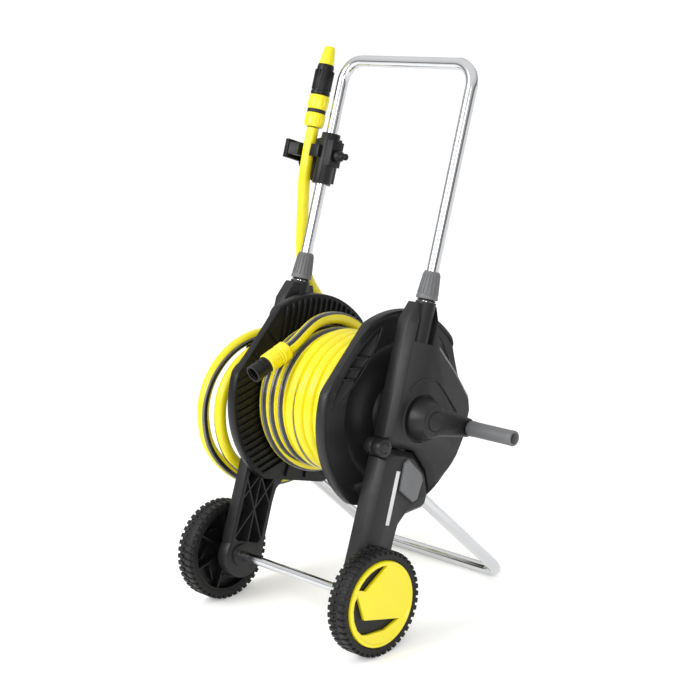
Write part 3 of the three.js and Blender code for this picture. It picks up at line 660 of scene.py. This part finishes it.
def makeFlange(size):
    r, x0, x1 = size["radius"], size["inner"], size["rim"]
    leafMiddle = size["flat"] - size["leafIn"]
    ribMiddle = x0 - size["ribHigh"] + 0.0013
    sixtySine, sixtyCosine = 0.866, 0.5
    body = turned("flangeRight", [
        (0.0172, x0), (r - 0.0035, x0), (r - 0.001, x0 + 0.001), (r, x0 + 0.0035), (r, x1 - 0.003),
        (r - 0.001, x1 - 0.001), (r - 0.0035, x1), (r - 0.0060, x1 - 0.0008), (r - 0.0075, x1 - 0.0035),
        (r - 0.012, x1 - 0.0045), (r - 0.050, x1 - 0.0050), (r - 0.054, x1 - 0.0085),
        (r - 0.060, x1 - 0.0115), (r - 0.080, x1 - 0.0120), (r - 0.085, x1 - 0.0090),
        (r - 0.112, x1 - 0.007), (r - 0.118, x1 - 0.002), (0.0205, x1 - 0.0018), (0.0172, x1 - 0.0030),
        (0.0172, x0)], 96, hollow=True)
    placed(body, alongX)
    for i in range(3):
        flatTurn = math.radians(size["firstFlat"] + 120 * i)
        normal = Vector((0, math.cos(flatTurn), math.sin(flatTurn)))
        startEdit(body)
        bpy.ops.mesh.bisect(plane_co=normal * size["flat"], plane_no=normal, use_fill=True,
                            clear_outer=True)
        endEdit()
        # a leaf-shaped hollow along each flat on the outer face, crossed by short bars
        tool = turned("leafTool", leaf, 28)
        leafPlace = Matrix.Rotation(flatTurn, 4, "X") @ Matrix.Translation((x1 - 0.0005, leafMiddle, 0))
        placed(tool, leafPlace @ Matrix.Diagonal((0.72, 1, 1, 1)))
        carve(body, tool)
    tidyMesh(body)
    roundEdges(body, 0.0009, 2, 38)
    parts = []
    for i in range(3):
        flatTurn = math.radians(size["firstFlat"] + 120 * i)
        turn = Matrix.Rotation(flatTurn, 4, "X")
        for k in (-1, 0, 1):
            bar = barAt("leafBar", (0.0060, 0.0290, 0.0022), (0, 0, 0), 0.0006,
                        Matrix.Rotation(math.radians(38), 4, "X"))
            parts.append(placed(bar, turn @ Matrix.Translation((x1 - 0.0072, leafMiddle, k * 0.021))))
        for side in (-1, 1):
            line = [Vector((x1 - 0.0046, leafMiddle + side * (half + 0.0004), along))
                    for half, along in leaf]
            parts.append(placed(edgeTube("leafRim", line, 0.0011), turn))
        sector = flatTurn + math.radians(60)
        for k in range(-size["ribsEachSide"], size["ribsEachSide"] + 1):
            # parallel ribs on the inner face, each ending short of the round edge and of the flats
            across = k * size["ribPitch"]
            wide = abs(across)
            start = max(size["ribStart"], wide / math.tan(math.radians(50)))
            stop = min(math.sqrt((r - 0.006) ** 2 - wide ** 2),
                       (size["flat"] - 0.006 - wide * sixtySine) / sixtyCosine)
            if stop - start < size["shortestRib"]:
                continue
            rib = barAt("flangeRib", (size["ribHigh"] * 2, stop - start, size["ribWide"]),
                        (ribMiddle, (start + stop) / 2, across), 0.0006)
            parts.append(placed(rib, Matrix.Rotation(sector, 4, "X")))
        for edge in (-1, 1):
            arm = barAt("flangeArm", (size["ribHigh"] * 2, 0.064, 0.0034), (ribMiddle, 0.111, 0),
                        0.0006)
            armTurn = flatTurn + edge * math.radians(size["armTurn"])
            parts.append(placed(arm, Matrix.Rotation(armTurn, 4, "X")))
    return smoothed(joined(body, *parts), 35)


flangeRight = makeFlange(flange)
flangeLeft = mirrorOf(flangeRight, "flangeLeft")
# painted light: the lit right flange gets the lighter charcoal plastic and its shaded mirrored twin on
# the left gets the black one, though both are the same black plastic
for part, side in ((flangeRight, "right"), (flangeLeft, "left")):
    placed(part, drumPlace)
    piece(part, "drum", "black_plastic", charcoalPlastic if side == "right" else blackPlastic,
          "drum_flange_" + side)
print("flanges made")

tyre = {"inner": 0.160, "outer": 0.192, "seat": 0.0682, "tread": 0.0800, "lugs": 44, "lugWide": 0.0074,
        "lugOff": 0.0094, "shoulderOff": 0.0152}


def makeTyre(size):
    x0, x1, seat, tread = size["inner"], size["outer"], size["seat"], size["tread"]
    body = turned("tyreRight", [
        (seat, x0 + 0.001), (seat + 0.003, x0), (tread - 0.004, x0), (tread - 0.0012, x0 + 0.0022),
        (tread, x0 + 0.005), (tread, x1 - 0.005), (tread - 0.0012, x1 - 0.0022), (tread - 0.004, x1),
        (seat + 0.003, x1), (seat, x1 - 0.001), (seat, x0 + 0.001)], 96, hollow=True)
    placed(body, alongX)
    parts = []
    middle = (x0 + x1) / 2
    high = wheelRadius - tread
    rootDepth = 0.0022  # how far a lug goes into the tread
    for i in range(size["lugs"]):
        turn = 2 * math.pi * i / size["lugs"]
        for side in (-1, 1):
            lugTurn = Matrix.Rotation(turn + side * math.pi / size["lugs"] / 2, 4, "X")
            lug = barAt("lug", (0.0125, size["lugWide"], high + rootDepth),
                        (middle + side * size["lugOff"], 0, tread + (high - rootDepth) / 2), 0.0008)
            parts.append(placed(lug, lugTurn))
            shoulder = barAt("shoulderLug", (0.0020, size["lugWide"] * 0.7, 0.0056),
                             (middle + side * size["shoulderOff"], 0, tread - rootDepth), 0.0006)
            parts.append(placed(shoulder, lugTurn))
        mid = barAt("midLug", (0.0050, 0.0044, high + 0.0018),
                    (middle, 0, tread + (high - rootDepth) / 2), 0.0006)
        parts.append(placed(mid, Matrix.Rotation(turn + math.pi / size["lugs"], 4, "X")))
    return smoothed(joined(body, *parts), 35)


tyreRight = makeTyre(tyre)
tyreLeft = mirrorOf(tyreRight, "tyreLeft")

cap = {"radius": 0.0667, "ring": 0.0618, "back": 0.1874, "face": 0.1925, "proud": 0.1945}
upperSlot = [(-0.0310, 0.0310), (0.0175, 0.0570), (0.0060, 0.0592), (-0.0060, 0.0590),
             (-0.0180, 0.0562), (-0.0290, 0.0512), (-0.0390, 0.0440), (-0.0455, 0.0372)]
lowerSlot = [(-0.0475, 0.0290), (-0.0375, -0.0130), (0.0370, -0.0345), (0.0040, -0.0430),
             (-0.0330, -0.0385), (-0.0445, -0.0345), (-0.0530, -0.0240), (-0.0580, -0.0080),
             (-0.0582, 0.0080), (-0.0545, 0.0210)]


def makeCap(size):
    r = size["radius"]
    body = turned("wheelCapRight", [
        (r - 0.0055, size["back"]), (r, size["back"]), (r, size["face"] - 0.0002),
        (r - 0.0008, size["proud"] - 0.0005), (r - 0.0018, size["proud"]),
        (size["ring"], size["proud"]), (size["ring"] - 0.0008, size["face"] + 0.0004),
        (size["ring"] - 0.004, size["face"]), (0.010, size["face"] + 0.0008)], 96)
    placed(body, alongX)
    for slot in (upperSlot, lowerSlot):
        carve(body, prism("slotTool", slot, size["back"] - 0.001, size["proud"] + 0.004))
    tidyMesh(body)
    roundEdges(body, 0.0005, 2, 40)
    return smoothed(body, 35)


capRight = makeCap(cap)
capLeft = mirrorOf(capRight, "wheelCapLeft")

rim = {"radius": 0.0677, "spokes": 7}


def makeRim(size):
    r = size["radius"]
    body = turned("wheelRimRight", [
        (0.0056, 0.1606), (0.0138, 0.1606), (0.0140, 0.1610), (0.0140, 0.1745), (r - 0.0042, 0.1745),
        (r - 0.0032, 0.1735), (r - 0.0030, 0.1612), (r, 0.1612), (r, 0.1868), (0.0056, 0.1868),
        (0.0056, 0.1606)], 72, hollow=True)
    placed(body, alongX)
    parts = []
    for i in range(size["spokes"]):
        turn = 2 * math.pi * i / size["spokes"]
        spoke = barAt("spoke", (0.0125, 0.0030, r - 0.0165), (0.1682, 0, (r + 0.0125) / 2), 0.0006)
        parts.append(placed(spoke, Matrix.Rotation(turn, 4, "X")))
        rung = barAt("rung", (0.0095, 0.0024, 0.026), (0.1698, 0, 0.047), 0.0006,
                     Matrix.Rotation(math.radians(62), 4, "X"))
        parts.append(placed(rung, Matrix.Rotation(turn + math.pi / size["spokes"], 4, "X")))
    return smoothed(joined(body, *parts), 35)


rimRight = makeRim(rim)
rimLeft = mirrorOf(rimRight, "wheelRimLeft")
for side, parts in (("right", (tyreRight, capRight, rimRight)), ("left", (tyreLeft, capLeft, rimLeft))):
    for part in parts:
        placed(part, cartPlace)
    piece(parts[0], "wheel_" + side, "tyre", tyreRubber, "tyre_" + side)
    piece(parts[1], "wheel_" + side, "yellow_plastic", yellowPlastic, "wheel_cap_" + side)
    piece(parts[2], "wheel_" + side, "black_plastic", blackPlastic, "wheel_rim_" + side)
print("wheels made")

panel = {"face": 0.158, "edge": 0.0010}
hubRidge = [(0.004, 0.320), (0.010, 0.331), (0.026, 0.341), (0.043, 0.345), (0.057, 0.345),
            (0.075, 0.335), (0.119, 0.303)]
lowerLip = [(0.1545, 0.262), (0.1465, 0.233), (0.1305, 0.207), (0.1010, 0.1785)]


def makePanelDetails(size):
    x = size["face"] - 0.0004
    ridge = edgeTube("hubRidge", smoothPath([Vector((x, y, z)) for y, z in hubRidge], 0.004), 0.0022)
    ring = turned("hubRing", [(0.0400, 0.0), (0.0385, 0.0012), (0.0375, 0.0012), (0.0360, 0.0),
                              (0.0360, -0.001), (0.0400, -0.001), (0.0400, 0.0)], 64, hollow=True)
    placed(ring, Matrix.Translation((x + 0.0004, *shaftSpot)) @ alongX)
    lip = edgeTube("panelLip", smoothPath([Vector((x - 0.0086, y, z)) for y, z in lowerLip], 0.004),
                   0.0016)
    return joined(ridge, ring, lip)


for side in ("right", "left"):
    shell = fromCad("side_panel_" + side, "sidePanel_" + side, panel["edge"])
    details = makePanelDetails(panel)
    if side == "left":
        turnedOver(details)
    placed(details, leanPlace)
    smoothed(joined(shell, details), 38)
    piece(shell, "frame", "black_plastic", charcoalPlastic, "side_panel_" + side)

leg = {"edge": 0.0010, "buttonEdge": 0.0012, "kneeMark": (0.159, -0.027, 0.229), "kneeMarkRadius": 0.0085,
       "strip": (0.0008, 0.0080, 0.084), "stripPlace": (0.1583, 0.0140, 0.156)}


def makeKneeMark(size):
    # two arcs round the knee pin
    x, y, z = size["kneeMark"]
    r = size["kneeMarkRadius"]
    arcs = []
    for first in (28, 208):
        turns = [math.radians(first + 12 * i) for i in range(10)]
        arcs.append(edgeTube("kneeArc", [Vector((x, y + r * math.cos(turn), z + r * math.sin(turn)))
                                         for turn in turns], 0.0008))
    return joined(*arcs)


for side in ("right", "left"):
    shell = fromCad("lower_leg_" + side, "lowerLeg_" + side, leg["edge"])
    piece(smoothed(shell, 38), "legs", "black_plastic", charcoalPlastic, "lower_leg_" + side)
    kneeMark = makeKneeMark(leg)
    kneeMark.name = "kneeMark_" + side
    strip = barAt("nameStrip_" + side, leg["strip"], leg["stripPlace"], 0.0003)
    for part, body, slot, material in ((kneeMark, "frame", "black_plastic", blackPlastic),
                                       (strip, "legs", "grey_plastic", paleStrip)):
        if side == "left":
            turnedOver(part)
        placed(part, leanPlace)
        piece(smoothed(part, 40), body, slot, material)
    button = fromCad("release_button_" + side, "releaseButton_" + side, leg["buttonEdge"])
    piece(button, "release_button_" + side, "grey_plastic", greyPlastic, "release_button_" + side)
print("side frames made")

tube = {"radius": 0.0095, "bend": 0.036, "bendSteps": 14, "halfHandle": 0.141, "handleY": 0.015,
        "handleLow": 0.432, "handleTop": 0.830, "halfStand": 0.142, "pivot": (0.047, 0.183),
        "standEnd": 0.009, "footY": 0.3355}


def uPath(half, low, high, bend, place):
    # the middle line of a U tube in its own plane, where place(x, v) gives each point its spot
    flat = [(-half, low), (-half, (low + high) / 2), (-half, high - bend - 0.004)]
    for i in range(tube["bendSteps"] + 1):
        turn = math.pi / 2 * i / tube["bendSteps"]
        flat.append((-half + bend - bend * math.cos(turn), high - bend + bend * math.sin(turn)))
    flat += [(0.0, high)]
    flat += [(-x, v) for x, v in reversed(flat[:-1])]
    return [place(x, v) for x, v in flat]


def makeHandleTube(size):
    path = uPath(size["halfHandle"], size["handleLow"], size["handleTop"], size["bend"],
                 lambda x, v: Vector((x, size["handleY"], v)))
    return placed(edgeTube("handleTube", path, size["radius"]), leanPlace)


def makeStandTube(size):
    footY, footZ = size["footY"], size["radius"] - wheelRadius
    foot = Vector((footY * math.cos(leanAngle) - footZ * math.sin(leanAngle),
                   footY * math.sin(leanAngle) + footZ * math.cos(leanAngle)))
    start = Vector(size["pivot"])
    way = (foot - start).normalized()
    path = uPath(size["halfStand"], -size["standEnd"], (foot - start).length, size["bend"],
                 lambda x, v: Vector((x, *(start + way * v))))
    return placed(edgeTube("standTube", path, size["radius"]), leanPlace)


piece(smoothed(makeHandleTube(tube), 40), "handle", "aluminium_tube", brightTube, "handle_tube")
piece(smoothed(makeStandTube(tube), 40), "stand", "aluminium_tube", brightTube, "stand_tube")

collar = {"low": 0.463, "high": 0.506, "lowRadius": 0.0170, "highRadius": 0.0135, "ribs": 18}


def makeCollar(size):
    r0, r1, z0, z1 = size["lowRadius"] - 0.0012, size["highRadius"] - 0.0010, size["low"], size["high"]
    body = turned("collar", [
        (0.0117, z0), (r0 - 0.001, z0), (r0, z0 + 0.001), (r0, z0 + 0.006), (r1, z1 - 0.0015),
        (r1 - 0.0012, z1), (0.0099, z1), (0.0099, z1 - 0.004), (0.0117, z1 - 0.0055), (0.0117, z0)], 64,
        hollow=True)
    slope = math.atan2(r0 - r1, (z1 - 0.004) - (z0 + 0.006))
    parts = [turned("collarBand", [(r0 - 0.001, z0), (r0 + 0.0011, z0 + 0.0002),
                                   (r0 + 0.0012, z0 + 0.0008), (r0 + 0.0012, z0 + 0.0050),
                                   (r0 + 0.0009, z0 + 0.0062), (r0 - 0.001, z0 + 0.0062),
                                   (r0 - 0.001, z0)], 64, hollow=True)]
    for i in range(size["ribs"]):
        rib = barAt("collarRib", (0.0022, 0.0024, z1 - z0 - 0.011), (0, 0, 0), 0.0007,
                    Matrix.Rotation(-slope, 4, "Y"))
        placed(rib, Matrix.Translation(((r0 + r1) / 2 - 0.0001, 0, (z0 + z1) / 2 + 0.0018)))
        parts.append(placed(rib, Matrix.Rotation(2 * math.pi * i / size["ribs"], 4, "Z")))
    return smoothed(joined(body, *parts), 38)


collarRight = placed(makeCollar(collar), Matrix.Translation((tube["halfHandle"], tube["handleY"], 0)))
collarRight.name = "twistCollarRight"
collarLeft = mirrorOf(collarRight, "twistCollarLeft")
for part, side in ((collarRight, "right"), (collarLeft, "left")):
    placed(part, leanPlace)
    piece(part, "twist_collar_" + side, "grey_plastic", greyPlastic, "twist_collar_" + side)
print("tubes and collars made")

crankArm = fromCad("crank_arm", "crankArm", 0.0014, 3)
mark = {"size": 0.011, "wall": 0.0014, "y": 0.050, "face": 0.1882}
markBars = []
for sideY, sideZ in ((-1, 0), (1, 0), (0, -1), (0, 1)):  # a raised square on the crank arm
    half = mark["size"] / 2
    bar = (0.0012, mark["wall"] + abs(sideZ) * mark["size"], mark["wall"] + abs(sideY) * mark["size"])
    markBars.append(barAt("markBar", bar, (mark["face"], mark["y"] + sideY * half, sideZ * half),
                          0.0004))
frameMark = placed(joined(*markBars), drumPlace)
piece(smoothed(joined(crankArm, frameMark), 38), "drum", "black_plastic", charcoalPlastic, "crank_arm")
piece(fromCad("crank_cap", "crankCap", 0.0004), "drum", "black_plastic", charcoalPlastic, "crank_cap")

grip = {"start": 0.189, "length": 0.090, "radius": 0.0125, "reach": 0.081}


def makeGrip(size):
    x0, x1, r = size["start"], size["start"] + size["length"], size["radius"]
    body = turned("crankGrip", [
        (0.0053, x0), (r - 0.0025, x0), (r - 0.0012, x0 + 0.0008), (r, x0 + 0.003), (r, x0 + 0.008),
        (r - 0.0005, x0 + 0.014), (r - 0.0006, x1 - 0.012), (r - 0.0003, x1 - 0.002),
        (r - 0.0010, x1 - 0.0004), (r - 0.0018, x1), (r - 0.0034, x1), (r - 0.0040, x1 - 0.001),
        (r - 0.0040, x1 - 0.026), (0.0053, x1 - 0.0275), (0.0053, x0)], 48, hollow=True)
    return placed(smoothed(body, 35), drumPlace @ Matrix.Translation((0, size["reach"], 0)) @ alongX)


piece(makeGrip(grip), "crank_grip", "grey_plastic", greyPlastic, "crank_grip")

nozzle = {"x": -0.175, "y": 0.003}
nozzlePlace = leanPlace @ Matrix.Translation((nozzle["x"], nozzle["y"], 0))


def ribbed(name, rings, radius, low, high, count, wide, deep, sides=40, hollow=False):
    # a turned shape with grip ribs round it
    body = turned(name, rings, sides, hollow)
    parts = []
    for i in range(count):
        rib = barAt(name + "Rib", (deep * 2, wide, high - low), (radius, 0, (low + high) / 2), 0.0005)
        parts.append(placed(rib, Matrix.Rotation(2 * math.pi * i / count, 4, "Z")))
    return smoothed(joined(body, *parts), 35)


nozzleNut = ribbed("nozzleNut", [(0.0106, 0.713), (0.0148, 0.7132), (0.0156, 0.715), (0.0162, 0.718),
                                 (0.0162, 0.734), (0.0152, 0.736), (0.0106, 0.736), (0.0106, 0.713)],
                   0.0159, 0.7185, 0.7335, 18, 0.0021, 0.0009, 48, True)
nozzleCollar = ribbed("nozzleCollar", [(0.0130, 0.7423), (0.0154, 0.7426), (0.0166, 0.746),
                                       (0.0166, 0.7635), (0.0158, 0.766), (0.0130, 0.766)],
                      0.0162, 0.748, 0.7625, 14, 0.0034, 0.0007)
nozzleBody = ribbed("nozzleBody", [(0.0140, 0.7663), (0.0160, 0.768), (0.0163, 0.772), (0.0151, 0.7735),
                                   (0.0156, 0.790), (0.0138, 0.811), (0.0140, 0.8135), (0.0132, 0.818),
                                   (0.0100, 0.818)],
                    0.0146, 0.7755, 0.8085, 14, 0.0026, 0.0016)
nozzleTip = turned("nozzleTip", [(0.0100, 0.8183), (0.0124, 0.8186), (0.0122, 0.823), (0.0114, 0.830),
                                 (0.0091, 0.845), (0.0083, 0.8482), (0.0070, 0.849), (0.0042, 0.849),
                                 (0.0032, 0.848), (0.0030, 0.838)], 40)
smoothed(nozzleTip, 35)
for part, body, slot, material, node in (
        (nozzleNut, "handle", "yellow_plastic", yellowPlastic, "nozzle_nut"),
        (nozzleCollar, "handle", "yellow_plastic", yellowPlastic, "nozzle_collar"),
        (nozzleBody, "handle", "black_plastic", blackPlastic, "nozzle_body"),
        (nozzleTip, "nozzle_tip", "yellow_plastic", yellowPlastic, "nozzle_tip")):
    placed(part, nozzlePlace)
    piece(part, body, slot, material, node)

holder = fromCad("hose_holder", "hoseHolder", 0.0012)
piece(holder, "handle", "black_plastic", blackPlastic, "hose_holder")
knob = {"place": (-0.141, 0.015, 0.670)}
holderKnob = ribbed("holderKnob", [(0.0028, 0.0118), (0.0030, 0.0224), (0.0088, 0.0226),
                                   (0.0096, 0.0245), (0.0098, 0.0290), (0.0080, 0.0340),
                                   (0.0046, 0.0375), (0.0042, 0.0400), (0.0055, 0.0420),
                                   (0.0055, 0.0450), (0.0035, 0.0468)],
                    0.0092, 0.0238, 0.0300, 14, 0.0018, 0.0009)
placed(holderKnob, leanPlace @ Matrix.Translation(knob["place"]) @ alongX)
piece(holderKnob, "holder_knob", "black_plastic", blackPlastic, "holder_knob")

piece(fromCad("inlet_elbow", "inletElbow", 0.0008), "frame", "black_plastic", blackPlastic,
      "inlet_elbow")
piece(fromCad("hose_hanger", "hoseHanger", 0.0015), "frame", "black_plastic", charcoalPlastic,
      "hose_hanger")
dressed(blackPlastic, "drum_barrel", "drum_shaft")
dressed(greyPlastic, "shaft_bush_left", "shaft_bush_right", "inlet_collar")
dressed(blackRubber, "grip_cone_left", "grip_cone_right", "shaft_seal", "nozzle_seal")
dressed(brightTube, "axle_sleeve")
dressed(platedSteel, "axle_rod", "axle_clip_left", "axle_clip_right", "knee_pin_left", "knee_pin_right",
        "stand_pin_left", "stand_pin_right", "crank_screw", "crank_pin")
print("fittings made")

# each light is (name, place, size, watts); the sky is (how far up, how bright)
studio = {"floor": 90.0, "glow": 0.16, "world": 1.06, "aim": (0, 0, 0.4),
          "lights": [("keyLight", (-0.9, -2.7, 2.1), 1.7, 68), ("fillLight", (2.2, -2.3, 1.5), 1.3, 40)],
          "sky": [(0.0, 0.10), (0.10, 0.16), (0.30, 0.75), (0.70, 1.0)]}


def makeStudio(setup):
    bpy.ops.mesh.primitive_plane_add(size=setup["floor"], location=(0, 0, -0.0004))
    floor = bpy.context.object
    floor.name = "floor"
    finish = Finish("paleFloor", (0.92, 0.92, 0.92), 0.6)
    pale = [(0.3, (0.91, 0.91, 0.91)), (0.7, (0.93, 0.93, 0.93))]
    finish.use("Base Color", finish.ramp(finish.noise(3, 2), pale))
    finish.shader.inputs["Emission Color"].default_value = (1, 1, 1, 1)
    finish.shader.inputs["Emission Strength"].default_value = setup["glow"]
    floor.data.materials.append(finish.material)
    for name, place, size, power in setup["lights"]:
        bpy.ops.object.light_add(type="AREA", location=place)
        lamp = bpy.context.object
        lamp.name = name
        lamp.data.size = size
        lamp.data.energy = power
        lamp.rotation_mode = "QUATERNION"
        lamp.rotation_quaternion = (Vector(setup["aim"]) - Vector(place)).to_track_quat("-Z", "Y")
    world = bpy.data.worlds.new("studio")
    bpy.context.scene.world = world
    world.use_nodes = True
    tree = world.node_tree
    background = tree.nodes["Background"]
    background.inputs["Strength"].default_value = setup["world"]
    way = tree.nodes.new("ShaderNodeTexCoord")
    split = tree.nodes.new("ShaderNodeSeparateXYZ")
    ramp = tree.nodes.new("ShaderNodeValToRGB")
    tree.links.new(way.outputs["Generated"], split.inputs["Vector"])
    tree.links.new(split.outputs["Z"], ramp.inputs["Fac"])
    tree.links.new(ramp.outputs["Color"], background.inputs["Color"])
    elements = ramp.color_ramp.elements
    while len(elements) < len(setup["sky"]):
        elements.new(0.5)
    for element, (height, shade) in zip(elements, setup["sky"]):
        element.position = height
        element.color = (shade, shade, shade, 1)
    bpy.context.scene.view_settings.view_transform = "Standard"


makeStudio(studio)
print("studio made")
